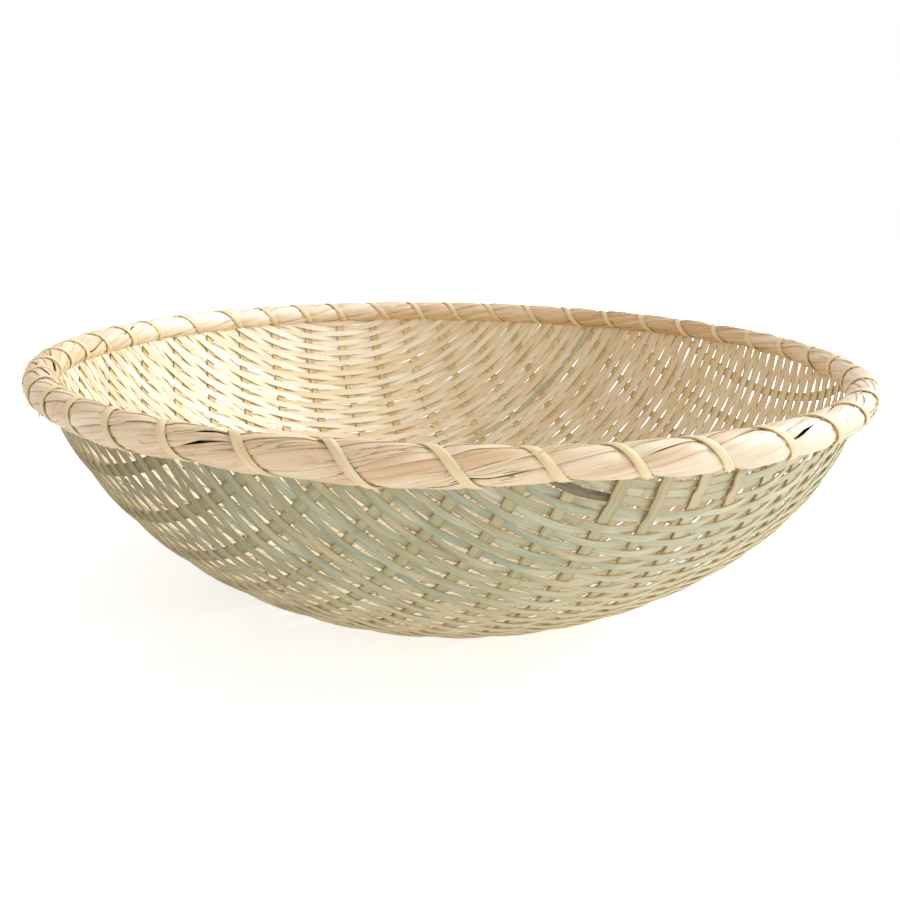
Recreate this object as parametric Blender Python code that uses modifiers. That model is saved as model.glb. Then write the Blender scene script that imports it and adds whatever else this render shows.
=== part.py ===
"""Round bamboo zaru: a wide shallow draining basket.

Stiff warps run front to back, narrow wefts are woven to and fro across them, and the
woven edge is clamped between two hoops, wrapped with thin strips and laced round.
Metres, +Z up. The basket stands on Z = 0 with its axis on the Z axis, warps along Y.
"""

import math

import bmesh
import bpy
from mathutils import Vector

# Bowl
RIM_RADIUS = 0.1740  # axis of the basket to the middle of the rim roll
BOWL_DEPTH = 0.1035  # middle of the rim roll down to the middle of the woven floor
FLOOR_RADIUS = 0.0480  # flat disc that the basket stands on
EDGE_RUN = 0.0110  # the wall runs straight this far below the middle of the roll
EDGE_LEAN = math.radians(19)  # its lean outwards there
BEND_SHARE = 0.57  # how far the wall's curve reaches towards the corner of its tangents

# Warps, the stiff strips from front to back
WARPS_EACH_SIDE = 9
EDGE_PITCHES = 0.83
WARP_WIDTH = 0.0042
WARP_THICKNESS = 0.0011
WARP_SECTIONS = 16
WARP_CROWD_SHARE = 0.35  # sections lie closer near the ends, where the wall bends

# Wefts, the narrow strips woven across
ROWS_EACH_SIDE = 24
ROW_GAP = 0.0009
WEFT_THICKNESS = 0.0008
TAIL_WIDTH = 0.0022
FIRST_ROW_DROP = 0.0035  # the outermost rows lie this far below the ends of the tails
ROWS_IN_A_STRIP = 3
STEEP_SHARE = 0.66  # rows nearer the middle than this meet the rim steeply enough to turn

# Rim
WRAP_RADIUS = 0.0066  # outside of the roll
WRAP_THICKNESS = 0.0009
WRAP_STRIPS = 6
WRAP_SLIT = 0.0008
WRAP_SLANT = 0.1350  # how far a wrap strip runs along the rim on its way over the roll
WRAP_OPENING = 0.0058  # width of the slot under the roll that the wall comes through
WRAP_SECTIONS = 8
WRAP_SIDES = 8
HOOP_SECTIONS = 56
HOOP_SIDES = 4

# Lacing
LACE_TURNS = 40
LACE_WIDTH = 0.0031
LACE_THICKNESS = 0.0009
LACE_SIDES = 8
LACE_SHIFT_SHARE = 0.62
LACE_TUCK = 0.0029  # half the straight way of the lacing under the roll

SEAT_GAP = 0.0003  # clearance between pieces that touch
BULGE_SHARE = 0.3  # a warp's bend under a weft may use this share of the clearance
PROFILE_POINTS = 160
ARC_SAMPLES = 40
LACE_TRIES = 120


def facet_allowance(radius, half_step):
    """How far a flat that spans twice this angle lies inside its corners."""
    return radius * (1 - math.cos(half_step))


# Derived sizes of the roll
ROWS = 2 * ROWS_EACH_SIDE
HOOP_FLATS = facet_allowance(RIM_RADIUS, math.pi / HOOP_SECTIONS)
WRAP_INNER = WRAP_RADIUS - WRAP_THICKNESS
WRAP_EDGE = math.asin(WRAP_OPENING / 2 / WRAP_INNER)
WRAP_TURN = 2 * math.pi - 2 * WRAP_EDGE
WRAP_FLATS = facet_allowance(RIM_RADIUS, math.pi / WRAP_STRIPS / WRAP_SECTIONS)
SLANT_FLATS = facet_allowance(RIM_RADIUS, WRAP_SLANT / RIM_RADIUS / WRAP_SIDES / 2)
SIDE_FLATS = facet_allowance(WRAP_INNER, WRAP_TURN / WRAP_SIDES / 2)
HOOP_RADIUS = WRAP_INNER - SEAT_GAP - max(WRAP_FLATS, SLANT_FLATS + SIDE_FLATS)
UP = (math.sin(EDGE_LEAN), math.cos(EDGE_LEAN))  # along the wall's edge, radius and height
OUT = (math.cos(EDGE_LEAN), -math.sin(EDGE_LEAN))  # square to it, away from the basket


def meridian():
    """Radius and height of the wall's middle, from the floor's centre up past the rim.

    Heights are measured from the middle of the rim roll.
    """
    line = []
    floor_points = PROFILE_POINTS // 4
    for i in range(floor_points):
        line.append((FLOOR_RADIUS * i / floor_points, -BOWL_DEPTH))
    low = (FLOOR_RADIUS, -BOWL_DEPTH)
    high = (RIM_RADIUS - UP[0] * EDGE_RUN, -UP[1] * EDGE_RUN)
    corner = (RIM_RADIUS - BOWL_DEPTH * UP[0] / UP[1], -BOWL_DEPTH)
    for i in range(PROFILE_POINTS + 1):
        t = i / PROFILE_POINTS
        spot = []
        for start, tip, end in zip(low, corner, high):
            first = start + (tip - start) * BEND_SHARE
            second = end + (tip - end) * BEND_SHARE
            a = start * (1 - t) ** 3 + 3 * first * t * (1 - t) ** 2
            spot.append(a + 3 * second * t**2 * (1 - t) + end * t**3)
        line.append(tuple(spot))
    straight_points = PROFILE_POINTS // 8
    for i in range(1, straight_points + 1):
        run = (EDGE_RUN + 2 * WRAP_RADIUS) * i / straight_points
        line.append((high[0] + UP[0] * run, high[1] + UP[1] * run))
    return line


def evenly_spaced(line, count):
    """The meridian again, as count even steps of its length."""
    lengths = [0]
    for (r1, z1), (r2, z2) in zip(line, line[1:]):
        lengths.append(lengths[-1] + math.hypot(r2 - r1, z2 - z1))
    step = lengths[-1] / count
    points = []
    at = 0
    for i in range(count + 1):
        want = min(step * i, lengths[-1])
        while lengths[at + 1] < want and at < len(lengths) - 2:
            at += 1
        part = (want - lengths[at]) / (lengths[at + 1] - lengths[at])
        r1, z1 = line[at]
        r2, z2 = line[at + 1]
        points.append((r1 + (r2 - r1) * part, z1 + (z2 - z1) * part))
    return points, step


MERIDIAN, MERIDIAN_STEP = evenly_spaced(meridian(), 4 * PROFILE_POINTS)


def wall_at(along):
    """Radius, height and slope of the wall at a distance along the meridian."""
    share = min(max(along / MERIDIAN_STEP, 0), len(MERIDIAN) - 1)
    low = min(int(share), len(MERIDIAN) - 2)
    r1, z1 = MERIDIAN[low]
    r2, z2 = MERIDIAN[low + 1]
    part = share - low
    length = math.hypot(r2 - r1, z2 - z1)
    return r1 + (r2 - r1) * part, z1 + (z2 - z1) * part, (r2 - r1) / length, (z2 - z1) / length


MERIDIAN_LENGTH = MERIDIAN_STEP * (len(MERIDIAN) - 1)
RIM_ALONG = MERIDIAN_LENGTH - 2 * WRAP_RADIUS  # the roll's middle, along the meridian


def along_to(level):
    """Distance along the meridian of a level, measured up the wall from the roll's middle."""
    return RIM_ALONG + level


def pressed(x, y):
    """Point and outward normal of the wall for a point of the flat round weave.

    The weave is laid out flat and pressed into the bowl: distances from the centre stay.
    """
    flat = math.hypot(x, y)
    radius, height, run, rise = wall_at(flat)
    out = Vector((x / flat, y / flat, 0)) if flat > 0 else Vector((0, 0, 0))
    return out * radius + Vector((0, 0, height)), (out * rise - Vector((0, 0, run))).normalized()


# The floor rests on the low passes of the wefts, so the roll's middle stands this high.
WARP_PITCH = along_to(0) / (WARPS_EACH_SIDE + EDGE_PITCHES)
RIM_PITCH = WARP_PITCH * RIM_RADIUS / along_to(0)
WEAVE_CHORD = WARP_WIDTH * WARP_PITCH / (2 * RIM_RADIUS)
WEAVE_SEAT = (WARP_THICKNESS + WEFT_THICKNESS) / 2 + SEAT_GAP + WEAVE_CHORD
WEAVE_OFFSET = WEAVE_SEAT / (1 - WARP_WIDTH / RIM_PITCH)
RIM_HEIGHT = BOWL_DEPTH + WEAVE_OFFSET + WEFT_THICKNESS / 2
CLAMP_CHORD = WARP_PITCH**2 / (8 * RIM_RADIUS)
CLAMP_HALF = WEAVE_OFFSET + WEFT_THICKNESS / 2 + SEAT_GAP + HOOP_FLATS + CLAMP_CHORD
HOOP_HALF_HEIGHT = math.sqrt(HOOP_RADIUS**2 - CLAMP_HALF**2)

# Levels at the roll, from the top down: the turns of the wefts, the warps' ends, the
# lacing's way through the wall, and where the wefts have drawn in to narrow tails.
TURN_LEVEL = HOOP_HALF_HEIGHT - TAIL_WIDTH / 2
WARP_TOP = TURN_LEVEL - TAIL_WIDTH / 2 - SEAT_GAP
LACE_STEP = math.pi / LACE_SIDES
LACE_RADIUS = (WRAP_RADIUS + WRAP_FLATS + SEAT_GAP + LACE_THICKNESS / 2) / math.cos(LACE_STEP)
LACE_LEVEL = -math.sqrt(LACE_RADIUS**2 - LACE_TUCK**2)
LACE_ZONE = LACE_THICKNESS / 2 + SEAT_GAP
TAIL_LEVEL = LACE_LEVEL - LACE_ZONE - TAIL_WIDTH / 2
ROW_REACH = along_to(TAIL_LEVEL - FIRST_ROW_DROP)
ROW_PITCH = ROW_REACH / (ROWS_EACH_SIDE - 1 / 2)
WEFT_WIDTH = ROW_PITCH - ROW_GAP
WARP_MEETING = along_to(WARP_TOP) + TAIL_WIDTH / 2 + SEAT_GAP

BAMBOO = {
    "warp": (0.50, 0.47, 0.24),
    "weft": (0.62, 0.60, 0.36),
    "hoop": (0.66, 0.52, 0.30),
    "wrap": (0.76, 0.60, 0.38),
    "lace": (0.82, 0.71, 0.44),
}


def clear_scene():
    for item in list(bpy.data.objects):
        bpy.data.objects.remove(item, do_unlink=True)


def bamboo(name, colour):
    material = bpy.data.materials.new(name)
    material.use_nodes = True
    surface = material.node_tree.nodes["Principled BSDF"]
    surface.inputs["Base Color"].default_value = (*colour, 1)
    surface.inputs["Roughness"].default_value = 0.62
    surface.inputs["Metallic"].default_value = 0.0
    material.diffuse_color = (*colour, 1)
    return material


def place(name, mesh, material, collection, parent):
    piece = bpy.data.objects.new(name, mesh)
    mesh.materials.append(material)
    collection.objects.link(piece)
    piece.parent = parent
    return piece


def strip_piece(name, sections, thickness, material, collection, parent):
    """A flat strip through sections, each a middle point and a half-width vector."""
    shape = bmesh.new()
    bmesh.ops.create_grid(shape, x_segments=len(sections) - 1, y_segments=1, size=1)
    for corner in shape.verts:
        index = round((corner.co.x + 1) / 2 * (len(sections) - 1))
        middle, half = sections[index]
        side = 1 if corner.co.y > 0 else -1
        corner.co = middle + half * side
        corner.co.z += RIM_HEIGHT
    mesh = bpy.data.meshes.new(name)
    shape.to_mesh(mesh)
    shape.free()
    piece = place(name, mesh, material, collection, parent)
    shell = piece.modifiers.new("thickness", "SOLIDIFY")
    shell.thickness = thickness
    shell.offset = 0
    shell.use_even_offset = True
    return piece


def across(normal, direction, width):
    return normal.cross(direction).normalized() * width / 2


# Warps


class Stake:
    """A warp: wefts are laid against its real, slightly faceted line."""

    def __init__(self, number):
        self.x = number * WARP_PITCH
        self.reach = math.sqrt(along_to(WARP_TOP) ** 2 - self.x**2)
        self.sections = []
        self.places = []
        step = self.reach / WARP_SECTIONS
        for i in range(WARP_SECTIONS + 1):
            share = 2 * i / WARP_SECTIONS - 1
            y = self.reach * share * (1 + WARP_CROWD_SHARE * (1 - share**2))
            point, normal = pressed(self.x, y)
            ahead, _ = pressed(self.x, y + step / 4)
            behind, _ = pressed(self.x, y - step / 4)
            self.places.append(y)
            self.sections.append((point, across(normal, ahead - behind, WARP_WIDTH)))

    def middle(self, y):
        """Middle of the warp and its half-width vector; past its ends, the smooth wall's."""
        if abs(y) >= self.reach:
            return pressed(self.x, y)[0], self.sections[0 if y < 0 else -1][1]
        low = 0
        while self.places[low + 1] < y:
            low += 1
        part = (y - self.places[low]) / (self.places[low + 1] - self.places[low])
        first, second = self.sections[low], self.sections[low + 1]
        return first[0].lerp(second[0], part), first[1].lerp(second[1], part)

    def crossing(self, y, width, outside):
        """Section of a weft of this width that passes the warp on one side of it."""
        here, side = self.middle(y)
        ahead, _ = self.middle(y + width / 2)
        behind, _ = self.middle(y - width / 2)
        along = ahead - behind
        normal = along.cross(side).normalized()
        if normal.dot(pressed(self.x, y)[1]) < 0:
            normal.negate()
        base = (ahead + behind) / 2
        bulge = max((here - base).dot(normal) * outside - SEAT_GAP * BULGE_SHARE, 0)
        return base + normal * outside * (WEAVE_OFFSET + bulge), along / 2, normal


STAKES = [Stake(number) for number in range(-WARPS_EACH_SIDE, WARPS_EACH_SIDE + 1)]


# Wefts: each section is a middle point, a half-width vector and the wall's outward normal


def row_place(row):
    return (row - ROWS_EACH_SIDE + 1 / 2) * ROW_PITCH


def passed(row):
    """The warps that a row passes, with the side it takes: 1 outside the bowl, -1 inside."""
    found = []
    for number, stake in enumerate(STAKES):
        if math.hypot(abs(stake.x) + TAIL_WIDTH, row_place(row)) < along_to(TURN_LEVEL):
            found.append((stake, 1 if (row + number) % 2 else -1))
    return found


def stops_short(row):
    """Whether a row turns just before it would meet the end of the next warp."""
    last = abs(passed(row)[0][0].x)
    return math.hypot(last + WARP_PITCH, row_place(row)) < WARP_MEETING


def row_body(row):
    """Sections of a row over and under its warps, left to right."""
    y = row_place(row)
    sections = []
    for stake, outside in passed(row):
        room = along_to(TAIL_LEVEL) - math.hypot(stake.x, y)
        width = max(min(WEFT_WIDTH, 2 * room), TAIL_WIDTH)
        middle, half, normal = stake.crossing(y, width, outside)
        if outside == 1 and math.hypot(stake.x, y) < FLOOR_RADIUS - WEFT_WIDTH / 2:
            shift = Vector((WARP_WIDTH / 2, 0, 0))
            sections.append((middle - shift, half, normal))
            sections.append((middle + shift, half, normal))
        else:
            sections.append((middle, half, normal))
    return sections


def row_tail(row, side):
    """A row's way from its last warp up into the roll: where it is narrow, then its top.

    It leaves its last warp as gently as it crosses, and keeps to its side of the next
    warp's end where it still reaches that.
    """
    y = row_place(row)
    stake, outside = passed(row)[-1 if side > 0 else 0]
    last = abs(stake.x)
    next_edge = last + WARP_PITCH - WARP_WIDTH / 2 - SEAT_GAP
    points = []
    for level in (TAIL_LEVEL, TURN_LEVEL):
        x = math.sqrt(max(along_to(level) ** 2 - y**2, 0))
        if stops_short(row):
            x = min(x, next_edge - TAIL_WIDTH / 2)
        if level == TURN_LEVEL:
            x = max(x, last + TAIL_WIDTH / 2)
        elif x < last + WARP_WIDTH:
            continue
        point, normal = pressed(side * x, y)
        beside = x - last - WARP_WIDTH / 2 - TAIL_WIDTH
        lift = outside * min(max(1 - 2 * beside / WARP_PITCH, 0), 1)
        passes_end = math.hypot(next_edge, y) < WARP_MEETING and not stops_short(row)
        if level == TURN_LEVEL and passes_end:
            lift = -outside
        points.append((point + normal * lift * WEAVE_OFFSET, normal))
    return points


def beyond(run):
    """A point past the first of a run, straight on, so that a strip's end is cut square."""
    return run[0][0] * 2 - run[1][0], run[0][1]


def mitred(points):
    """Narrow sections at the inner ones of a run of points with their normals."""
    sections = []
    for (before, _), (here, normal), (after, _) in zip(points, points[1:], points[2:]):
        way_in = (here - before).normalized()
        way_out = (after - here).normalized()
        side = normal.cross((way_in + way_out).normalized()).normalized()
        square = normal.cross(way_in).normalized()
        stretch = 1 / max(side.dot(square), 1 / 2)
        sections.append((here, side * TAIL_WIDTH / 2 * stretch, normal))
    return sections


def weft_sections(rows):
    """One long strip woven to and fro: its rows are joined by turns inside the roll."""
    sections = []
    for order, row in enumerate(rows):
        body = row_body(row)
        heading = 1 if order % 2 == 0 else -1
        if heading < 0:
            body.reverse()
        start = row_tail(row, -heading)
        finish = row_tail(row, heading)
        first = (body[0][0], body[0][2])
        last = (body[-1][0], body[-1][2])
        if order == 0:
            start.reverse()
            run = start + [first]
            sections += mitred([beyond(run)] + run)
        sections += body
        if order == len(rows) - 1:
            run = [last] + finish
            sections += mitred(run + [beyond(run[::-1])])
        else:
            following = row_tail(rows[order + 1], heading)
            following.reverse()
            next_body = row_body(rows[order + 1])
            next_one = next_body[-1] if heading > 0 else next_body[0]
            sections += mitred([last] + finish + following + [(next_one[0], next_one[2])])
    return facing_one_way(sections)


def facing_one_way(sections):
    """Half-width vectors all to the left of the strip's way, seen from outside."""
    result = []
    for i, (middle, half, normal) in enumerate(sections):
        ahead = sections[min(i + 1, len(sections) - 1)][0]
        behind = sections[max(i - 1, 0)][0]
        left = normal.cross(ahead - behind)
        result.append((middle, half if half.dot(left) > 0 else -half))
    return result


def can_turn(row, following):
    """Whether no warp's end stands in the way of a turn from a row into the following one."""
    same = len(passed(row)) == len(passed(following))
    return same or not (stops_short(row) or stops_short(following))


def weft_groups():
    """Rows that meet the rim steeply go to and fro in one strip, the others lie singly."""
    groups = []
    current = []
    for row in range(ROWS):
        steep = abs(row_place(row)) < STEEP_SHARE * ROW_REACH
        if current and not can_turn(row - 1, row):
            groups.append(current)
            current = []
        if steep:
            current.append(row)
        if current and (not steep or len(current) == ROWS_IN_A_STRIP):
            groups.append(current)
            current = []
        if not steep:
            groups.append([row])
    if current:
        groups.append(current)
    return groups


# Rim


def rim_point(around, tilt, radius):
    """Point near the roll: angle round the basket, angle round the roll from outward."""
    reach = RIM_RADIUS + radius * (math.cos(tilt) * OUT[0] + math.sin(tilt) * UP[0])
    height = radius * (math.cos(tilt) * OUT[1] + math.sin(tilt) * UP[1])
    return Vector((reach * math.cos(around), reach * math.sin(around), height))


def hoop_piece(name, outward, material, collection, parent):
    """A half-round hoop: flat towards the wall, round towards the wrap."""
    shape = bmesh.new()
    start = math.acos(CLAMP_HALF / HOOP_RADIUS)
    corners = []
    for i in range(HOOP_SIDES + 1):
        angle = start - 2 * start * i / HOOP_SIDES
        corner = rim_point(0, angle if outward > 0 else math.pi - angle, HOOP_RADIUS)
        corners.append(shape.verts.new((corner.x, 0, corner.z + RIM_HEIGHT)))
    if outward < 0:
        corners.reverse()
    for i in range(len(corners)):
        shape.edges.new((corners[i], corners[(i + 1) % len(corners)]))
    mesh = bpy.data.meshes.new(name)
    shape.to_mesh(mesh)
    shape.free()
    piece = place(name, mesh, material, collection, parent)
    turn = piece.modifiers.new("turn", "SCREW")
    turn.axis = "Z"
    turn.angle = 2 * math.pi
    turn.steps = HOOP_SECTIONS
    turn.render_steps = HOOP_SECTIONS
    turn.use_merge_vertices = True
    turn.merge_threshold = 0.00001
    return piece


def wrap_piece(number, material, collection, parent):
    """A thin strip laid slantwise over the roll, from under its outside to under its inside."""
    name = f"rim_wrap_{number + 1}"
    shape = bmesh.new()
    bmesh.ops.create_grid(shape, x_segments=WRAP_SECTIONS, y_segments=WRAP_SIDES, size=1)
    width = 2 * math.pi / WRAP_STRIPS - WRAP_SLIT / RIM_RADIUS * WRAP_SLANT / (WRAP_TURN * WRAP_RADIUS)
    slant = WRAP_SLANT / RIM_RADIUS
    for corner in shape.verts:
        along = (corner.co.x + 1) / 2
        over = (corner.co.y + 1) / 2
        around = 2 * math.pi * number / WRAP_STRIPS + width * along + slant * over
        tilt = -math.pi / 2 + WRAP_EDGE + WRAP_TURN * over
        corner.co = rim_point(around, tilt, WRAP_INNER)
        corner.co.z += RIM_HEIGHT
    bmesh.ops.triangulate(shape, faces=shape.faces, quad_method="SHORT_EDGE")
    mesh = bpy.data.meshes.new(name)
    shape.to_mesh(mesh)
    shape.free()
    piece = place(name, mesh, material, collection, parent)
    shell = piece.modifiers.new("thickness", "SOLIDIFY")
    shell.thickness = WRAP_THICKNESS
    shell.offset = 1
    shell.use_even_offset = True
    return piece


# Lacing


def taken_arcs(all_sections):
    """Arcs round the basket where a strip stands in the lacing's way under the roll."""
    margin = (LACE_WIDTH / 2 + SEAT_GAP) / RIM_RADIUS
    arcs = []
    for sections in all_sections:
        for first, second in zip(sections, sections[1:]):
            angles = []
            start = math.atan2(first[0].y, first[0].x)
            for i in range(ARC_SAMPLES + 1):
                for j in range(-2, 3):
                    side = j / 2
                    spot = (first[0] + first[1] * side).lerp(second[0] + second[1] * side, i / ARC_SAMPLES)
                    level = (math.hypot(spot.x, spot.y) - RIM_RADIUS) * UP[0] + spot.z * UP[1]
                    if abs(level - LACE_LEVEL) < LACE_ZONE:
                        turn = math.atan2(spot.y, spot.x) - start
                        angles.append((turn + math.pi) % (2 * math.pi) - math.pi)
            if angles:
                middle = (max(angles) + min(angles)) / 2
                arcs.append((start + middle, max(angles) - middle + margin))
    return arcs


def lace_places(arcs):
    """Angle of each pass under the roll: the free place nearest to even steps."""
    places = []
    step = 2 * math.pi / LACE_TURNS
    for turn in range(LACE_TURNS):
        wanted = step * (turn + 1 / 2)
        best = wanted
        for i in range(LACE_TRIES):
            shift = step * LACE_SHIFT_SHARE * i / LACE_TRIES
            found = False
            for sign in (1, -1):
                angle = wanted + sign * shift
                free = True
                for taken, margin in arcs:
                    gap = (angle - taken + math.pi) % (2 * math.pi) - math.pi
                    if abs(gap) < margin:
                        free = False
                        break
                if free:
                    best = angle
                    found = True
                    break
            if found:
                break
        else:
            print("no free way for lacing turn", turn)
        places.append(best)
    return places


def lace_sections(places):
    """One strip wound round the roll, passing under it at each of the given angles."""
    tuck = math.asin(LACE_TUCK / LACE_RADIUS)
    stations = []
    for turn, angle in enumerate(places):
        following = places[turn + 1] if turn + 1 < len(places) else places[0] + 2 * math.pi
        steps = LACE_SIDES - 1
        last = turn + 1 == len(places)
        stations.append((angle, -math.pi / 2 + tuck))
        for i in range(steps - 1 if last else steps):
            share = i / steps
            tilt = -math.pi / 2 - tuck - (2 * math.pi - 2 * tuck) * share
            stations.append((angle + (following - angle) * share, tilt))
    points = [rim_point(around, tilt, LACE_RADIUS) for around, tilt in stations]
    sections = []
    for i, (around, tilt) in enumerate(stations):
        ahead = points[min(i + 1, len(points) - 1)]
        behind = points[max(i - 1, 0)]
        outward = rim_point(around, tilt, LACE_RADIUS * 2) - points[i]
        sections.append((points[i], across(outward.normalized(), ahead - behind, LACE_WIDTH)))
    return sections


def build():
    clear_scene()
    collection = bpy.data.collections.new("zaru")
    bpy.context.scene.collection.children.link(collection)
    root = bpy.data.objects.new("zaru_axis", None)
    collection.objects.link(root)
    looks = {name: bamboo(name, colour) for name, colour in BAMBOO.items()}

    in_the_wall = []
    for number, stake in enumerate(STAKES):
        strip_piece(
            f"warp_{number + 1:02d}", stake.sections, WARP_THICKNESS, looks["warp"], collection, root
        )
        in_the_wall.append(stake.sections)
    for number, rows in enumerate(weft_groups()):
        sections = weft_sections(rows)
        strip_piece(f"weft_{number + 1:02d}", sections, WEFT_THICKNESS, looks["weft"], collection, root)
        in_the_wall.append(sections)
    hoop_piece("rim_outer_hoop", 1, looks["hoop"], collection, root)
    hoop_piece("rim_inner_hoop", -1, looks["hoop"], collection, root)
    for number in range(WRAP_STRIPS):
        wrap_piece(number, looks["wrap"], collection, root)
    places = lace_places(taken_arcs(in_the_wall))
    strip_piece("lacing", lace_sections(places), LACE_THICKNESS, looks["lace"], collection, root)


build()
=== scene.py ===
import math

import bpy
import numpy as np
from mathutils import Matrix, Vector


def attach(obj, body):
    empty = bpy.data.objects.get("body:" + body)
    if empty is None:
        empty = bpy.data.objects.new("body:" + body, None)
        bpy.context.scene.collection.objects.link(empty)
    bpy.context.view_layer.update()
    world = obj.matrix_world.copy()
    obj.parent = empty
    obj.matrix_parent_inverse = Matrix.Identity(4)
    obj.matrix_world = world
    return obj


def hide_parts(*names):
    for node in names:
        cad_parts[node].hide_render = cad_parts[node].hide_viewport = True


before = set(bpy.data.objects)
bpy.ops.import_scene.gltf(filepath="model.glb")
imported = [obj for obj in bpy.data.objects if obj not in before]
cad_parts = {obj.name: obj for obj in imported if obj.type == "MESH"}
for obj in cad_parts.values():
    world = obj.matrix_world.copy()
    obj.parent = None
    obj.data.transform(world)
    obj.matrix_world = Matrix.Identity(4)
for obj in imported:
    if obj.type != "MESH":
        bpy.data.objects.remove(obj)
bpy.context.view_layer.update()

# Bowl, as in the CAD: metres, heights in the profile count from the middle of the rim roll
RIM_RADIUS = 0.1740
BOWL_DEPTH = 0.1035 + 0.0013  # the strips are thinner here, so their middle lies lower
FLOOR_RADIUS = 0.0480
EDGE_RUN = 0.0110
EDGE_LEAN = math.radians(19)
BEND_SHARE = 0.57
ROLL_RADIUS = 0.0066
RIM_HEIGHT = 0.10590

# Weave
WARPS_EACH_SIDE = 9
EDGE_PITCHES = 0.83
FAN = 0.237  # the stakes lie this share closer at the front and wider at the back
WARP_WIDTH = 0.0044
WARP_THICKNESS = 0.0007
ROWS = 124
ROW_CROWD = 0.05  # rows lie closer towards the front and the back
ROW_BEND = 0.30  # and their ends bend outward
ROW_FILLS = {-0.175: 0.86, -0.155: 0.90, -0.07: 0.93, -0.02: 1.03, 0.05: 1.10}  # share of the pitch
ROW_DRIFTS = {-0.175: 0.00045, -0.155: 0.00016}  # how far rows stray, from the front on
ROW_WANDER = 0.00018  # and how far a row strays from its own line
ROW_TUCK = 0.0020  # rows run on past the middle of the roll
OUTER_ROW_DROP = 0.0045  # the first and the last row lie this far below it
THIN_PART = (-0.13, -0.04)  # towards the left the front rows grow thinner
THIN_SHARE = 0.83
WEFT_WIDTH = 0.0042
WEFT_THICKNESS = 0.00042
WEFT_CROWN = 0.00012
WEAVE_LIFT = 0.00067  # a row passes this far outside or inside the middle of the weave
LEVEL_SHARE = 0.11  # and is level for this share of the pitch to either side of a stake
STAKE_TUCK = 0.0010
STAKE_STEP = 0.0019  # from one station of a stake to the next
STAKE_CROWN = 0.00015
STAKE_WAVE = 0.00016  # a stake gives way to each row by this much
LONG_FLOATS = {-2: 5, -1: 6, 0: 4, 1: 4}  # stake: rows it lies over under the front rim
LONG_FLOAT_LIFT = 0.0007
TURNED_ROW = 91  # its green side lies inwards on this part of it
TURNED_PART = (-0.06, 0.25)
BARK_ROW = 4  # has dark bark left on this part of it
BARK_PART = (-0.071, -0.040)
BULGE = 0.0050  # the wall is pushed out this far at its fullest, on the right
BULGE_SIDE = math.radians(-40)
BULGE_REACH = 0.65
SLOPE_STEP = 0.001  # slopes are taken between places this far to either side

# Rim
RIM_STRIPS = 8  # lines of thin strips side by side round the roll
RIM_TWISTS = 7  # turns they make round the roll on their way round the rim
STRIP_RADIUS = 0.00530
STRIP_THICKNESS = 0.00035
STRIP_STEP = 0.0026  # from one station of a strip to the next
STRIP_OVERLAP = 1.16  # width of a strip as a share of its line's
STRIP_EDGE_LIFT = 0.00045  # its lower edge lies over its neighbour
STRIP_CROWN = 0.00016
STRIP_LAYER = 0.00011  # strips that meet end to end lie in layers
STRIP_ENDS = 0.06  # and run past each other by this angle
DIP_EVERY = 0.085  # on the average a strip narrows once in this length, and shows a slit
DIP_LENGTH = 0.005
SWELL = 0.0003  # the roll swells between the turns of lacing
LACE_PINCH = 0.0011  # and is drawn in under them
LACE_PINCH_LENGTH = 0.0042
LOOSE_STRANDS = 140
STRAND_RADIUS = STRIP_RADIUS + 0.00062
STRAND_THICKNESS = 0.00016
HOOP_RADIUS = 0.0041
HOOP_SPREAD = 1.5
HOOP_THICKNESS = 0.0012
LACE_RADIUS = 0.00566
LACE_WIDTH = 0.0027
LACE_THICKNESS = 0.0005
LACE_CROWN = 0.00030
LACE_TURNS = 43
LACE_MARKS = {  # angle round the rim, in degrees from the right, at some turns of the lacing
    0: 9, 5: 53, 6: 61, 9: 88, 11: 104, 12: 114, 15: 138, 17: 158, 20: 181, 25: 217, 27: 230.5,
    29: 246, 30: 255, 31: 264.5, 32: 273.5, 34: 289, 35: 298, 39: 333.5, 43: 369}
ROLL_SIZES = {  # angle, and how far the roll is fuller or thinner there
    10: -0.0011, 27: -0.0011, 40: -0.0010, 55: -0.0004, 75: 0, 236: 0, 246: -0.0008, 252: -0.0002,
    258: -0.0004, 263: 0.0004, 268: -0.0001, 272: 0, 276: -0.0009, 282: -0.0012, 289: -0.0008,
    296: -0.0003, 304: 0, 340: 0}

VIEW_TURN = math.radians(-25.5)  # the camera stands this far round from the front

UP = np.array([math.sin(EDGE_LEAN), math.cos(EDGE_LEAN)])
OUT = np.array([math.cos(EDGE_LEAN), -math.sin(EDGE_LEAN)])


# Shape of the bowl


def bowl_profile():
    """Radius and height of the weave's middle at even steps up from the floor's centre."""
    low = np.array([FLOOR_RADIUS, -BOWL_DEPTH])
    high = np.array([RIM_RADIUS, 0]) - UP * EDGE_RUN
    corner = np.array([RIM_RADIUS - BOWL_DEPTH * UP[0] / UP[1], -BOWL_DEPTH])
    floor_part = np.linspace([0, -BOWL_DEPTH], low, 60, endpoint=False)
    t = np.linspace(0, 1, 240)[:, None]
    first = low + (corner - low) * BEND_SHARE
    second = high + (corner - high) * BEND_SHARE
    belly = low * (1 - t) ** 3 + 3 * first * t * (1 - t) ** 2
    belly += 3 * second * t**2 * (1 - t) + high * t**3
    run = np.linspace(0, EDGE_RUN + 2 * ROLL_RADIUS, 40)[1:, None]
    line = np.concatenate([floor_part, belly, high + UP * run])
    steps = np.linalg.norm(np.diff(line, axis=0), axis=1)
    return np.concatenate([[0], np.cumsum(steps)]), line


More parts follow.
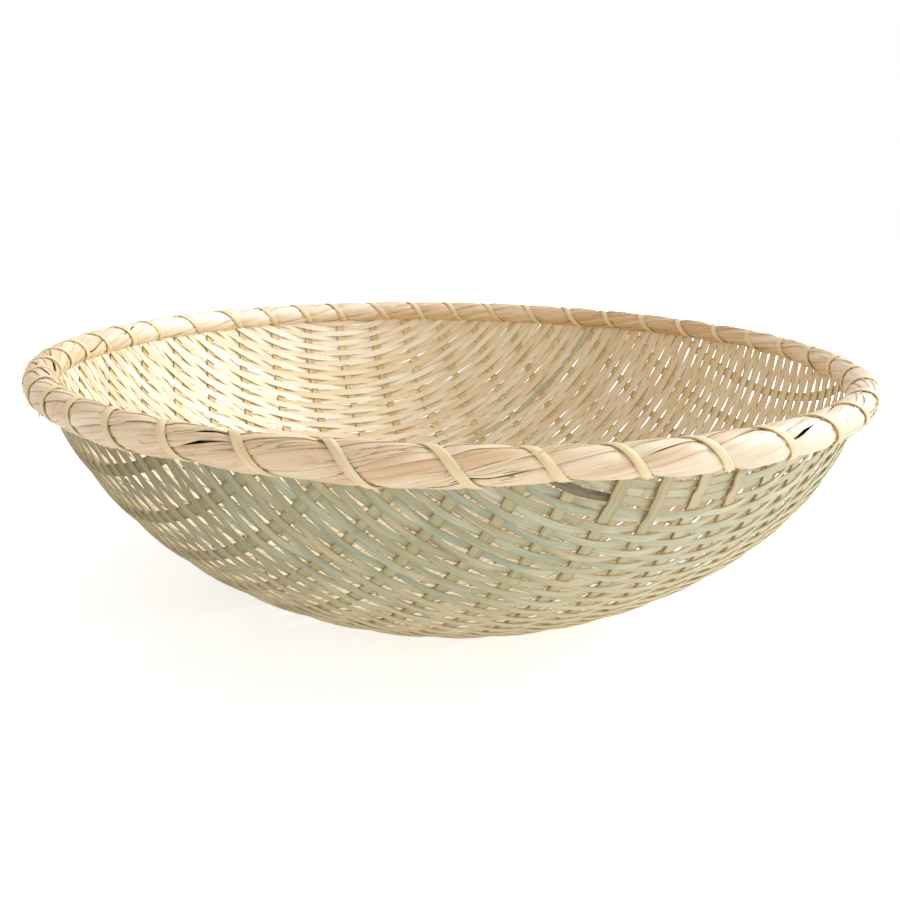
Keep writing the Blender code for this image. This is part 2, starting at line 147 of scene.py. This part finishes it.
ALONG, PROFILE = bowl_profile()
RIM_ALONG = ALONG[-1] - 2 * ROLL_RADIUS
WARP_PITCH = RIM_ALONG / (WARPS_EACH_SIDE + EDGE_PITCHES)
ROW_REACH = RIM_ALONG - OUTER_ROW_DROP
ROW_SHARES = np.linspace(-1, 1, ROWS)
ROW_PLACES = ROW_REACH * ((1 + ROW_CROWD) * ROW_SHARES - ROW_CROWD * ROW_SHARES**3)
ROW_PITCHES = np.gradient(ROW_PLACES)


def pressed(x, y, lift=0):
    """Places of the flat round weave, pressed into the bowl and moved out by lift."""
    flat = np.maximum(np.hypot(x, y), 1e-6)
    radius = np.interp(flat, ALONG, PROFILE[:, 0])
    height = np.interp(flat, ALONG, PROFILE[:, 1])
    step = 0.0004
    inner = [np.interp(flat - step, ALONG, PROFILE[:, axis]) for axis in (0, 1)]
    outer = [np.interp(flat + step, ALONG, PROFILE[:, axis]) for axis in (0, 1)]
    run = outer[0] - inner[0]
    rise = outer[1] - inner[1]
    size = np.hypot(run, rise)
    level = np.clip(1 + height / BOWL_DEPTH, 0, 1)
    turned = np.arctan2(y, x) - BULGE_SIDE
    push = BULGE * np.sin(math.pi * level) * np.exp(-(np.sin(turned / 2) * 2 / BULGE_REACH) ** 2)
    reach = radius + push + lift * rise / size
    level = height - lift * run / size + RIM_HEIGHT
    return np.stack([x / flat * reach, y / flat * reach, level], -1)


def rim_place(around, tilt, radius):
    """Places near the roll: angle round the basket, angle round the roll from outward."""
    reach = RIM_RADIUS + radius * (np.cos(tilt) * OUT[0] + np.sin(tilt) * UP[0])
    height = radius * (np.cos(tilt) * OUT[1] + np.sin(tilt) * UP[1])
    return np.stack([reach * np.cos(around), reach * np.sin(around), height + RIM_HEIGHT], -1)


# Strips


def ribbon(name, places, lengths, sides, strip, thickness, offset=0):
    """A strip from a grid primitive: places is rows of points across, one row a station."""
    stations, across = places.shape[:2]
    bpy.ops.mesh.primitive_grid_add(x_subdivisions=stations - 1, y_subdivisions=across - 1, size=2)
    piece = bpy.context.object
    piece.name = name
    mesh = piece.data
    flat = np.empty(len(mesh.vertices) * 3)
    mesh.vertices.foreach_get("co", flat)
    flat = flat.reshape(-1, 3)
    i = np.rint((flat[:, 0] + 1) / 2 * (stations - 1)).astype(int)
    j = np.rint((flat[:, 1] + 1) / 2 * (across - 1)).astype(int)
    mesh.vertices.foreach_set("co", places[i, j].ravel())
    loops = np.empty(len(mesh.loops), dtype=np.int32)
    mesh.loops.foreach_get("vertex_index", loops)
    lay = mesh.uv_layers[0]
    lay.name = "lay"
    lay.data.foreach_set("uv", np.stack([lengths[i[loops]], sides[j[loops]]], -1).ravel())
    tag = mesh.attributes.new("strip", "FLOAT", "POINT")
    tag.data.foreach_set("value", np.full(len(mesh.vertices), strip))
    shell = piece.modifiers.new("thickness", "SOLIDIFY")
    shell.thickness = thickness
    shell.offset = offset
    shell.material_offset = 1
    shell.material_offset_rim = 2
    return piece


def joined(name, pieces, finishes, own=None):
    """Strips made one piece, each with its thickness applied; own is finishes by strip name."""
    own = own or {}
    bpy.ops.object.select_all(action="DESELECT")
    for piece in pieces:
        for finish in own.get(piece.name, finishes):
            piece.data.materials.append(finish)
        bpy.context.view_layer.objects.active = piece
        bpy.ops.object.modifier_apply(modifier="thickness")
        piece.select_set(True)
    bpy.context.view_layer.objects.active = pieces[0]
    bpy.ops.object.join()
    piece = bpy.context.object
    piece.name = name
    piece.data.name = name
    bpy.ops.object.shade_smooth_by_angle(angle=math.radians(40))
    piece.select_set(False)
    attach(piece, "root")
    return piece


# Finishes


def colour(code):
    """Scene-linear colour of a screen colour."""
    parts = [int(code[i:i + 2], 16) / 255 for i in (1, 3, 5)]
    return tuple(p / 12.92 if p < 0.04045 else ((p + 0.055) / 1.055) ** 2.4 for p in parts) + (1,)


class Wire:
    """A shader value that can be written in sums."""

    def __init__(self, finish, socket):
        self.finish = finish
        self.socket = socket

    def maths(self, operation, *values):
        return self.finish.node("ShaderNodeMath", {"operation": operation}, values)

    def __add__(self, other):
        return self.maths("ADD", self, other)

    def __sub__(self, other):
        return self.maths("SUBTRACT", self, other)

    def __mul__(self, other):
        return self.maths("MULTIPLY", self, other)

    def __truediv__(self, other):
        return self.maths("DIVIDE", self, other)

    def size(self):
        return self.maths("ABSOLUTE", self)

    def part(self):
        return self.maths("FRACT", self)


class Finish:
    """A material of one Principled surface, with its nodes made as they are needed."""

    def __init__(self, name, roughness, shine=0.5):
        self.material = bpy.data.materials.new(name)
        self.material.use_nodes = True
        self.tree = self.material.node_tree
        self.surface = self.tree.nodes["Principled BSDF"]
        self.surface.inputs["Roughness"].default_value = roughness
        self.surface.inputs["Specular IOR Level"].default_value = shine

    def node(self, kind, settings=None, inputs=(), output=0):
        made = self.tree.nodes.new(kind)
        for key, value in (settings or {}).items():
            setattr(made, key, value)
        pairs = inputs.items() if isinstance(inputs, dict) else enumerate(inputs)
        for key, value in pairs:
            if isinstance(value, Wire):
                self.tree.links.new(value.socket, made.inputs[key])
            else:
                made.inputs[key].default_value = value
        return Wire(self, made.outputs[output])

    def feed(self, name, value):
        self.tree.links.new(value.socket, self.surface.inputs[name])

    def strip_place(self):
        """Way along a strip, way across it, and the strip's own number."""
        lay = self.node("ShaderNodeUVMap", {"uv_map": "lay"})
        split = self.node("ShaderNodeSeparateXYZ", {}, {"Vector": lay})
        across = Wire(self, split.socket.node.outputs["Y"])
        own = self.node("ShaderNodeAttribute", {"attribute_name": "strip"}, (), "Fac")
        return split, across, own

    def noise(self, x, y, z, detail=3.0, roughness=0.55):
        spot = self.node("ShaderNodeCombineXYZ", {}, (x, y, z))
        settings = {"noise_dimensions": "3D"}
        inputs = {"Vector": spot, "Scale": 1.0, "Detail": detail, "Roughness": roughness}
        return self.node("ShaderNodeTexNoise", settings, inputs, "Fac")

    def between(self, value, low, high):
        """How far a value has gone from low to high, from 0 to 1."""
        settings = {"clamp": True, "interpolation_type": "SMOOTHSTEP"}
        inputs = {"Value": value, "From Min": low, "From Max": high}
        return self.node("ShaderNodeMapRange", settings, inputs)

    def mix(self, share, first, second):
        made = self.node("ShaderNodeMix", {"data_type": "RGBA"}, {0: share}, 2)
        for slot, value in ((6, first), (7, second)):
            if isinstance(value, Wire):
                self.tree.links.new(value.socket, made.socket.node.inputs[slot])
            else:
                made.socket.node.inputs[slot].default_value = value
        return made

    def bump(self, height, strength, distance):
        inputs = {"Strength": strength, "Distance": distance, "Height": height}
        self.feed("Normal", self.node("ShaderNodeBump", {}, inputs))


def bamboo(name, shades, seed, fibres=1500.0, rough=0.6, relief=0.3, cracks=0.0, edges=0.0,
           shine=0.5, painted_light_and_shade=()):
    """Split bamboo: long fibre streaks, strips of unlike shade, stains, cracks and joints.

    The shades are pale, middle, deep, stain and dark. Each change is painted light or shade by
    place:
    a share, a colour and, for a way across the basket as the camera sees it, where it starts and
    where it is full.
    """
    pale, middle, deep, stain, dark = [colour(code) for code in shades]
    finish = Finish(name, rough, shine)
    u, v, own = finish.strip_place()
    streak = finish.noise(u * 22.0, v * fibres, own * 91.0 + seed, 4.0, 0.6)
    thread = finish.noise(u * 45.0, v * fibres * 1.9, own * 71.0 + seed, 3.0, 0.6)
    cloud = finish.noise(u * 16.0, v * 160.0, own * 57.0 + seed, 3.0)
    patch = finish.noise(u * 55.0, v * 120.0, own * 33.0 + seed, 3.0)
    shade = finish.mix(finish.between(cloud, 0.36, 0.62), pale, middle)
    own_shade = (own * 37.0 + seed * 0.13).part()
    shade = finish.mix(finish.between(own_shade, 0.35, 0.95) * 0.85, shade, deep)
    own_stain = (own * 91.0 + seed * 0.37).part()
    stained = finish.between(own_stain, 0.72, 1.0) + finish.between(patch, 0.52, 0.68)
    shade = finish.mix(finish.node("ShaderNodeClamp", {}, (stained * 0.6,)), shade, stain)
    shade = finish.mix(finish.between(streak, 0.47, 0.70) * 0.5, shade, dark)
    shade = finish.mix(finish.between(thread, 0.50, 0.34) * 0.35, shade, pale)
    # Darker along the strip's edges: partly the strips' own browner edges, partly painted shade
    # where neighbouring strips meet
    if edges:
        edge = finish.between(v.size() + (cloud - 0.5) * 0.0012, 0.0012, 0.0019)
        shade = finish.mix(edge * edges, shade, dark)
    # Painted light and shade: colours laid over by height, and by side or depth as the camera sees
    # it
    if painted_light_and_shade:
        spot = finish.node("ShaderNodeTexCoord", {}, (), "Object")
        split = finish.node("ShaderNodeSeparateXYZ", {}, {"Vector": spot})
        x, y, z = [Wire(finish, socket) for socket in split.socket.node.outputs]
        ways = {"height": z, "side": x * math.cos(VIEW_TURN) + y * math.sin(VIEW_TURN),
                "depth": y * math.cos(VIEW_TURN) - x * math.sin(VIEW_TURN)}
    for share, code, limits in painted_light_and_shade:
        for way, (start, full) in limits.items():
            share = finish.between(ways[way], start, full) * share
        shade = finish.mix(share, shade, colour(code))
    crack = (finish.noise(u * 26.0, v * fibres * 0.42, own * 41.0 + seed, 2.0) - 0.5).size()
    split = finish.between(crack, 0.012, 0.004) * finish.between(cloud, 0.53, 0.60)
    shade = finish.mix(split * cracks, shade, colour("#7a5c38"))
    ring = ((u / 0.31 + own * 5.0).part() - 0.5).size()
    mark = finish.between(ring, 0.004, 0.001)
    finish.feed("Base Color", finish.mix(mark * 0.3, shade, dark))
    height = streak * 0.6 + thread * 0.4 - split * cracks + mark * 0.5 + cloud * 0.4
    finish.bump(height, relief, 0.0003)
    return finish.material


# Weft skin, with painted light and shade: paler towards the bottom, painted light from the white
# floor below; darker towards the left as the camera sees it, painted shade; paler towards the
# right, painted light
weft_skin = bamboo("weft skin", ("#c8c6ab", "#98a28a", "#aea680", "#d4c39c", "#7f7657"), 3.0,
                   rough=0.5, relief=0.35, edges=0.25,
                   painted_light_and_shade=((0.85, "#d4c39c", {"height": (0.075, 0.015)}),
                            (0.80, "#7f7657", {"side": (-0.02, -0.12)}),
                            (0.32, "#eadfbe", {"side": (-0.01, 0.11)})))
weft_bark = bamboo("weft bark", ("#a3967a", "#857960", "#6b604c", "#5a503e", "#40372b"), 31.0,
                   rough=0.8, relief=0.6)
# Weft pith, with painted shade: darker towards the right as the camera sees it, where the inside
# wall lies in shade
weft_pith = bamboo("weft pith", ("#faf0dc", "#f3e2c2", "#e8d0a4", "#edd5ae", "#c9aa79"), 5.0,
                   rough=0.45, edges=0.2, shine=0.9,
                   painted_light_and_shade=((0.32, "#c9aa79", {"side": (0.03, 0.12)}),))
cut_edge = bamboo("cut edge", ("#ddd0a6", "#cfbf93", "#b9a97c", "#c2a978", "#9a8358"), 7.0)
warp_side = bamboo("warp side", ("#c4ad80", "#b59a68", "#9d8252", "#aa8b5c", "#846745"), 8.0)
# Stake skin, with painted light and shade as on the weft skin: a little paler towards the bottom,
# darker towards the left, paler towards the right
warp_skin = bamboo("warp skin", ("#bdb78f", "#a7a67d", "#b0a278", "#b89f76", "#746641"), 11.0,
                   edges=0.3,
                   painted_light_and_shade=((0.20, "#b89f76", {"height": (0.075, 0.015)}),
                            (0.80, "#746641", {"side": (-0.02, -0.12)}),
                            (0.32, "#eadfbe", {"side": (-0.01, 0.11)})))
warp_pith = bamboo("warp pith", ("#ead4a6", "#dcc08e", "#cfb07c", "#cfae7a", "#a98650"), 13.0)
# Rim strips, with painted light and shade: browner at the back right, painted shade; whiter at the
# front right, painted highlight; whiter at the back left, painted light
wrap_face = bamboo("rim strip", ("#f6e5ca", "#eed6b2", "#e6c69c", "#e5bf97", "#bd966a"), 17.0,
                   fibres=900.0, rough=0.45, relief=0.9, cracks=0.65, shine=0.9,
                   painted_light_and_shade=((0.42, "#c58f4c", {"side": (0.02, 0.09), "depth": (0.02, 0.09)}),
                            (0.35, "#f6ebdc", {"side": (0.05, 0.13), "depth": (0.03, -0.04)}),
                            (0.60, "#fff8ea", {"side": (-0.02, -0.12), "depth": (-0.02, 0.06)})))
wrap_back = bamboo("rim strip back", ("#dcc19a", "#c9aa82", "#b3916a", "#b3916a", "#8f6f48"), 19.0)
lace_face = bamboo("lacing face", ("#f7eacb", "#efdcb2", "#e8d2a4", "#e4caa0", "#c9ab78"), 23.0,
                   fibres=1400.0, rough=0.5, relief=0.25)
hoop_core = bamboo("hoop core", ("#ad9067", "#997d57", "#7e6445", "#7e6445", "#5d4830"), 29.0)


# Warps and wefts

chance = np.random.default_rng(7)


def uneven(t, knots, amount):
    """Small departures along a strip, t running from 0 to 1."""
    return np.interp(t, np.linspace(0, 1, knots), chance.normal(0, amount, knots))


def looked_up(at, marks, period=None):
    """The value at a place between marks."""
    return np.interp(at, list(marks), list(marks.values()), period=period)


def stake_place(number, y):
    """How far to the side a stake lies: they spread from the front to the back."""
    return number * WARP_PITCH * (1 + FAN * y / RIM_ALONG)


def stake_ends(number, reach):
    """Where a stake's middle crosses a flat circle, at the front and at the back."""
    a = number * WARP_PITCH
    b = a * FAN / RIM_ALONG
    half = math.sqrt(a * a * b * b - (1 + b * b) * (a * a - reach * reach))
    return (-a * b - half) / (1 + b * b), (-a * b + half) / (1 + b * b)


def first_row(number):
    """The first row from the front that crosses a stake."""
    return int(np.searchsorted(ROW_PLACES, stake_ends(number, RIM_ALONG - 0.004)[0]))


def side_of(row, number):
    """1 where a row passes outside a stake, -1 where it passes inside."""
    if number in LONG_FLOATS and row < first_row(number) + LONG_FLOATS[number]:
        return -1
    return 1 if (row + number) % 2 else -1


def row_bend(x):
    """How strongly the rows are bent at this distance from the middle."""
    return ROW_BEND * (x / RIM_ALONG) ** 2 / RIM_ALONG


def unbent(x, y):
    """The place in the middle of the weave of the row that passes through x, y."""
    return 2 * y / (1 + np.sqrt(1 + 4 * row_bend(x) * np.abs(y)))


def eased(x, values):
    """Values at the stakes joined nearly straight, level for the width of each stake."""
    at = np.clip(x, -WARPS_EACH_SIDE - 1, WARPS_EACH_SIDE + 0.999)
    low = np.floor(at).astype(int)
    t = np.clip((at - low - LEVEL_SHARE) / (1 - 2 * LEVEL_SHARE), 0, 1)
    t = 0.55 * t + 0.45 * t * t * (3 - 2 * t)
    values = np.asarray(values)
    shift = WARPS_EACH_SIDE + 1
    return values[low + shift] * (1 - t) + values[low + shift + 1] * t


def squared(middle, way):
    """Directions along a line, and the way across it made square to them."""
    ahead = np.gradient(middle, axis=0)
    ahead /= np.linalg.norm(ahead, axis=1)[:, None]
    return ahead, way - ahead * np.sum(way * ahead, axis=1)[:, None]


def band_rows(middle, way, shares, width, crown):
    """Rows of points across a strip: its middle, the way across it and its real width."""
    ahead, way = squared(middle, way)
    way = way / np.linalg.norm(way, axis=1)[:, None]
    up = np.cross(ahead, way)
    rows = []
    for share in shares:
        rise = crown * (1 - (2 * share) ** 2)
        rows.append(middle + way * (share * width)[:, None] + up * rise)
    return np.stack(rows, 1)


def row_reach(place):
    """How far a bent row runs to either side until it is inside the roll."""
    limit = RIM_ALONG + ROW_TUCK
    reach = math.sqrt(limit**2 - place**2)
    for _ in range(12):
        end = place + row_bend(reach) * place * abs(place)
        reach = (reach + math.sqrt(max(limit**2 - end**2, 0.01**2))) / 2
    return reach


def weft(row):
    """A row, woven over and under the stakes; a part of it may have a finish of its own."""
    place = ROW_PLACES[row]
    place += chance.normal(0, looked_up(place, ROW_DRIFTS))
    reach = row_reach(place)
    count = max(int(2 * reach / WARP_PITCH * 8), 12)
    x = np.linspace(-reach, reach, count + 1)
    y = place + row_bend(x) * place * abs(place)
    y = y + uneven((x / reach + 1) / 2, 9, ROW_WANDER)
    sides = [side_of(row, n) for n in range(-WARPS_EACH_SIDE - 1, WARPS_EACH_SIDE + 2)]
    lift = eased(x / stake_place(1, y), sides) * WEAVE_LIFT
    middle = pressed(x, y, lift)
    way = pressed(x, y + SLOPE_STEP, lift) - pressed(x, y - SLOPE_STEP, lift)
    room = np.linalg.norm(squared(middle, way)[1], axis=1) / (2 * SLOPE_STEP)
    room = room * (1 + 2 * row_bend(x) * abs(place))
    fill = looked_up(place, ROW_FILLS)
    width = np.minimum(WEFT_WIDTH, ROW_PITCHES[row] * room * fill) * chance.uniform(0.92, 1.05)
    width = width * (1 + uneven((x / reach + 1) / 2, 15, 0.05))
    if place < 0:
        side = x * math.cos(VIEW_TURN) + y * math.sin(VIEW_TURN)
        width = width * np.interp(side, THIN_PART, [THIN_SHARE, 1])
    places = band_rows(middle, way, (-0.5, 0, 0.5), width, -WEFT_CROWN)
    sides = np.array([-1, 0, 1]) * WEFT_WIDTH / 2
    lengths = x + reach + row * 0.37
    piece = ribbon(f"row {row}", places, lengths, sides, chance.random(), WEFT_THICKNESS)
    if row in own_parts:
        low, high = np.interp(own_parts[row], x, np.arange(count + 1))
        for face in piece.data.polygons:
            if low < face.index % count < high:
                face.material_index = len(usual)
    return piece


def warp(number):
    """A stake, pressed a little to and fro by the rows that it passes."""
    front, back = stake_ends(number, RIM_ALONG + STAKE_TUCK)
    y = np.linspace(front, back, int((back - front) / STAKE_STEP) + 1)
    x = stake_place(number, y)
    rows = np.interp(unbent(x, y), ROW_PLACES, np.arange(ROWS))
    lift = (-1) ** number * STAKE_WAVE * np.cos(math.pi * rows)
    if number in LONG_FLOATS:
        edge = ROW_PLACES[first_row(number) + LONG_FLOATS[number]] - 0.002
        lift = lift + LONG_FLOAT_LIFT * np.clip((edge - y) / 0.004, 0, 1)
    middle = pressed(x, y, lift)
    way = pressed(x + SLOPE_STEP, y, lift) - pressed(x - SLOPE_STEP, y, lift)
    width = WARP_WIDTH * chance.uniform(0.9, 1.08) * np.interp(y, [front, back], [0.92, 1.06])
    width = width * (1 + np.interp(y, np.linspace(front, back, 12), chance.normal(0, 0.03, 12)))
    places = band_rows(middle, way, (0.5, 0, -0.5), width, STAKE_CROWN)
    sides = np.array([-1, 0, 1]) * WARP_WIDTH / 2
    return ribbon(f"stake {number}", places, y, sides, chance.random(), WARP_THICKNESS)


def numbered(name, first, last):
    return [f"{name}_{i:02d}" for i in range(first, last + 1)]


bands = (("weave_front", -1.0, -0.108, 1, 8), ("weave_floor_front", -0.108, 0, 9, 13),
         ("weave_floor_back", 0, 0.108, 14, 19), ("weave_back", 0.108, 1.0, 20, 27))
own_parts = {TURNED_ROW: TURNED_PART, BARK_ROW: BARK_PART}
usual = (weft_pith, weft_skin, cut_edge)
own_finishes = {f"row {TURNED_ROW}": usual + (weft_skin, weft_pith, cut_edge),
                f"row {BARK_ROW}": usual + (weft_pith, weft_bark, weft_bark)}
for name, front, back, low, high in bands:
    strips = [weft(row) for row in range(ROWS) if front <= ROW_PLACES[row] < back]
    band = joined(name, strips, usual, own_finishes)
    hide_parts(*numbered("weft", low, high))

stakes = joined("warps", [warp(n) for n in range(-WARPS_EACH_SIDE, WARPS_EACH_SIDE + 1)],
                (warp_pith, warp_skin, warp_side))
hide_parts(*numbered("warp", 1, 19))


# Rim

turn_count = np.arange(-1, LACE_TURNS + 2)
turns = looked_up(turn_count % LACE_TURNS, LACE_MARKS)
turns = np.radians(turns + turn_count // LACE_TURNS * 360) + VIEW_TURN


def turn_at(around):
    """Which turn of the lacing, counted with its fraction, is at an angle under the roll."""
    return np.interp(around, turns, turn_count)


def lace_near(around, tilt):
    """Distance along the rim to the nearest pass of the lacing over this side of the roll."""
    share = ((-math.pi / 2 - tilt) / (2 * math.pi)) % 1
    at = turn_at(around % (2 * math.pi)) - share
    away = np.abs(at - np.rint(at))
    return away * 2 * math.pi / LACE_TURNS * RIM_RADIUS


def roll_size(around, tilt):
    """The roll is fuller or thinner from place to place, more so underneath."""
    size = looked_up(np.degrees(around - VIEW_TURN), ROLL_SIZES, period=360)
    return size * (1 - 0.6 * np.sin(tilt))


def roll_swell(around, tilt):
    """The roll is drawn in under each turn of lacing and swells between them."""
    pinch = np.exp(-(lace_near(around, tilt) / LACE_PINCH_LENGTH) ** 2)
    return roll_size(around, tilt) + SWELL - LACE_PINCH * pinch


def rim_strip(number, start, length, rank):
    """One thin strip laid slantwise along the roll, its lower edge over its neighbour."""
    run = length * RIM_RADIUS
    count = int(run / STRIP_STEP)
    t = np.linspace(0, 1, count + 1)
    around = start + length * t
    pitch = 2 * math.pi / RIM_STRIPS
    knots = max(int(run / 0.020), 4)
    middle = pitch * number + RIM_TWISTS * around + uneven(t, knots, 0.06)
    width = pitch * (STRIP_OVERLAP + uneven(t, knots, 0.08))
    for spot in chance.uniform(0, 1, max(int(run / DIP_EVERY), 1)):
        depth = pitch * chance.uniform(0.1, 0.27)
        width = width - depth * np.exp(-((t - spot) * run / DIP_LENGTH) ** 2)
    taper = np.minimum(np.minimum(t, 1 - t) * run / chance.uniform(0.008, 0.022), 1)
    width = width * (0.12 + 0.88 * taper)
    rows = []
    shares = np.linspace(-0.5, 0.5, 6)
    for share in shares:
        tilt = middle + share * width
        over = -share + 0.5
        radius = STRIP_RADIUS + rank + STRIP_EDGE_LIFT * over - 0.0002 * (1 - taper)
        radius = radius + STRIP_CROWN * (1 - (2 * share) ** 2) + roll_swell(around, tilt)
        rows.append(rim_place(around, tilt, radius + uneven(t, knots * 3, 0.00005)))
    places = np.stack(rows, 1)
    lengths = around * RIM_RADIUS + number * 0.71 + rank * 900
    return ribbon("strip", places, lengths, shares * 0.0050, chance.random(), STRIP_THICKNESS, -1)


def loose_strand(start, side, length):
    """A thread of bamboo that has come away from the roll, its ends standing off a little."""
    t = np.linspace(0, 1, max(int(length / 0.003), 5) + 1)
    around = start + length / RIM_RADIUS * t
    tilt = side + (RIM_TWISTS * chance.uniform(0.5, 1.3)) * (around - start) + uneven(t, 4, 0.05)
    off = chance.choice([0.0003, 0.0010, 0.0026]) * np.clip((t - 0.5) / 0.5, 0, 1) ** 2
    radius = STRAND_RADIUS + roll_swell(around, tilt) + off
    half = chance.uniform(0.00018, 0.00045) * (1 - 0.7 * t) / 0.006
    rows = [rim_place(around, tilt + half, radius), rim_place(around, tilt - half, radius)]
    places = np.stack(rows[::-1], 1)
    lengths = around * RIM_RADIUS
    sides = np.array([-1, 1]) * 0.0004
    return ribbon("strand", places, lengths, sides, chance.random(), STRAND_THICKNESS, -1)


strips = []
for number in range(RIM_STRIPS):
    cuts = np.cumsum(chance.uniform(0.5, 1.5, 7))
    cuts = cuts / cuts[-1] * 2 * math.pi + chance.uniform(0, 2 * math.pi)
    ends = np.append(cuts[1:], cuts[0] + 2 * math.pi)
    for k, (low, high) in enumerate(zip(cuts, ends)):
        length = high - low + 2 * STRIP_ENDS
        strips.append(rim_strip(number, low - STRIP_ENDS, length, STRIP_LAYER * (k % 3)))
for k in range(LOOSE_STRANDS):
    spread = 1.1 if k % 3 else 3.1
    start = math.radians(-10) + chance.uniform(-spread, spread)
    strips.append(loose_strand(start, chance.uniform(-1.2, 2.6), chance.uniform(0.012, 0.040)))
wrap = joined("rim_strips", strips, (wrap_face, wrap_back, cut_edge))
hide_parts(*[f"rim_wrap_{i}" for i in range(1, 7)])


def lacing():
    """One strip wound round the roll, over it outside and through the weave under it."""
    per_turn = 22
    total = LACE_TURNS * per_turn
    step = np.arange(total + 1) / per_turn
    around = np.interp(step, turn_count, turns)
    share = step % 1
    tilt = -math.pi / 2 - 2 * math.pi * share
    around = around + uneven(step / LACE_TURNS, LACE_TURNS + 1, 0.0015)
    radius = LACE_RADIUS + roll_size(around, tilt) + 0.00010 * np.sin(step * 2.1)
    middle = rim_place(around, tilt, radius)
    outward = rim_place(around, tilt, radius + 0.001) - middle
    outward /= np.linalg.norm(outward, axis=1)[:, None]
    ahead = np.gradient(middle, axis=0)
    across = np.cross(outward, ahead)
    across /= np.linalg.norm(across, axis=1)[:, None]
    widths = LACE_WIDTH * (1 + uneven(step / LACE_TURNS, 2 * LACE_TURNS, 0.06))
    rows = []
    shares = np.linspace(-0.5, 0.5, 5)
    for s in shares:
        crown = LACE_CROWN * (1 - (2 * s) ** 2)
        rows.append(middle + across * (s * widths)[:, None] + outward * crown)
    places = np.stack(rows, 1)
    lengths = np.concatenate([[0], np.cumsum(np.linalg.norm(np.diff(middle, axis=0), axis=1))])
    return ribbon("lace", places, lengths, shares * LACE_WIDTH, 0.37, LACE_THICKNESS)


lace = joined("rim_lacing", [lacing()], (lace_face, wrap_back, cut_edge))
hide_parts("lacing")


def hoop(middle):
    """A split hoop inside the roll: middle is its angle round the roll."""
    around = np.linspace(0, 2 * math.pi, 181)
    shares = np.linspace(-0.5, 0.5, 5)
    rows = []
    for share in shares:
        tilt = np.full_like(around, middle + share * HOOP_SPREAD)
        rows.append(rim_place(around, tilt, HOOP_RADIUS + roll_size(around, tilt)))
    places = np.stack(rows, 1)
    return ribbon("hoop", places, around * RIM_RADIUS, shares * 0.006, 0.5, HOOP_THICKNESS, -1)


hoops = joined("rim_hoops", [hoop(0), hoop(math.pi)], (hoop_core, hoop_core, hoop_core))
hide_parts("rim_outer_hoop", "rim_inner_hoop")


# Floor, light and camera

bpy.ops.mesh.primitive_circle_add(vertices=96, radius=6, fill_type="NGON")
floor = bpy.context.object
floor.name = "floor"
floor.select_set(False)
ground = Finish("floor", 0.9, 0.1)
ground.surface.inputs["Base Color"].default_value = (0.80, 0.80, 0.80, 1)
# The floor glows: for the camera more with distance from the basket, so that it turns white far off
# and its shadow stays faint near the basket; for every other ray a little, painted light standing
# in for light bounced off a white table
ground.surface.inputs["Emission Strength"].default_value = 1
seen = ground.node("ShaderNodeLightPath", {}, (), "Is Camera Ray")
spot = ground.node("ShaderNodeTexCoord", {}, (), "Object")
away = ground.node("ShaderNodeVectorMath", {"operation": "LENGTH"}, (spot,), "Value")
glow = seen * (ground.between(away, 0.14, 0.45) * 0.5 + 0.32) + 0.3
ground.feed("Emission Color", ground.mix(glow, (0, 0, 0, 1), (1, 1, 1, 1)))
floor.data.materials.append(ground.material)

# The sky is a soft warm light, and white where the camera or a gloss shows it
world = bpy.data.worlds.new("studio")
bpy.context.scene.world = world
world.use_nodes = True
sky = world.node_tree
backdrop = sky.nodes["Background"]
path = sky.nodes.new("ShaderNodeLightPath")
largest = sky.nodes.new("ShaderNodeMath")
largest.operation = "MAXIMUM"
sky.links.new(path.outputs["Is Camera Ray"], largest.inputs[0])
sky.links.new(path.outputs["Is Glossy Ray"], largest.inputs[1])
level = sky.nodes.new("ShaderNodeMix")
level.data_type = "RGBA"
level.inputs[6].default_value = (0.71, 0.68, 0.63, 1)
level.inputs[7].default_value = (1, 1, 1, 1)
sky.links.new(largest.outputs[0], level.inputs[0])
sky.links.new(level.outputs[2], backdrop.inputs["Color"])


def lamp(name, place, target, size, power, tint):
    light = bpy.data.lights.new(name, "AREA")
    light.color = tint
    light.shape = "DISK"
    light.size = size
    light.energy = power
    holder = bpy.data.objects.new(name, light)
    bpy.context.scene.collection.objects.link(holder)
    aim = (Vector(target) - Vector(place)).to_track_quat("-Z", "Y")
    holder.matrix_world = Matrix.Translation(place) @ aim.to_matrix().to_4x4()


lamp("window", (1.35, -0.15, 1.00), (0, 0, 0.05), 0.9, 21, (0.88, 0.95, 1.0))
lamp("front_fill", (1.2, -1.1, 0.25), (0, 0, 0.05), 1.4, 9, (1, 1, 1))

VIEW_DISTANCE = 2.17 * RIM_RADIUS
VIEW_HEIGHT = 0.370 * RIM_RADIUS + RIM_HEIGHT
VIEW_PITCH = 0.286
VIEW_ROLL = 0.0185
VIEW_FOCUS = 808.5 / 900  # focal length as a share of the picture's width
ahead = Vector((-math.sin(VIEW_TURN), math.cos(VIEW_TURN), 0))
camera_data = bpy.data.cameras.new("camera")
camera_data.sensor_width = 36
camera_data.lens = camera_data.sensor_width * VIEW_FOCUS
camera_data.clip_start = 0.01
camera = bpy.data.objects.new("camera", camera_data)
bpy.context.scene.collection.objects.link(camera)
place = Vector((0, 0, VIEW_HEIGHT)) - ahead * VIEW_DISTANCE
look = ahead * math.cos(VIEW_PITCH) - Vector((0, 0, math.sin(VIEW_PITCH)))
facing = look.to_track_quat("-Z", "Y").to_matrix().to_4x4()
camera.matrix_world = Matrix.Translation(place) @ facing @ Matrix.Rotation(VIEW_ROLL, 4, "Z")
bpy.context.scene.camera = camera
bpy.context.scene.view_settings.view_transform = "Standard"
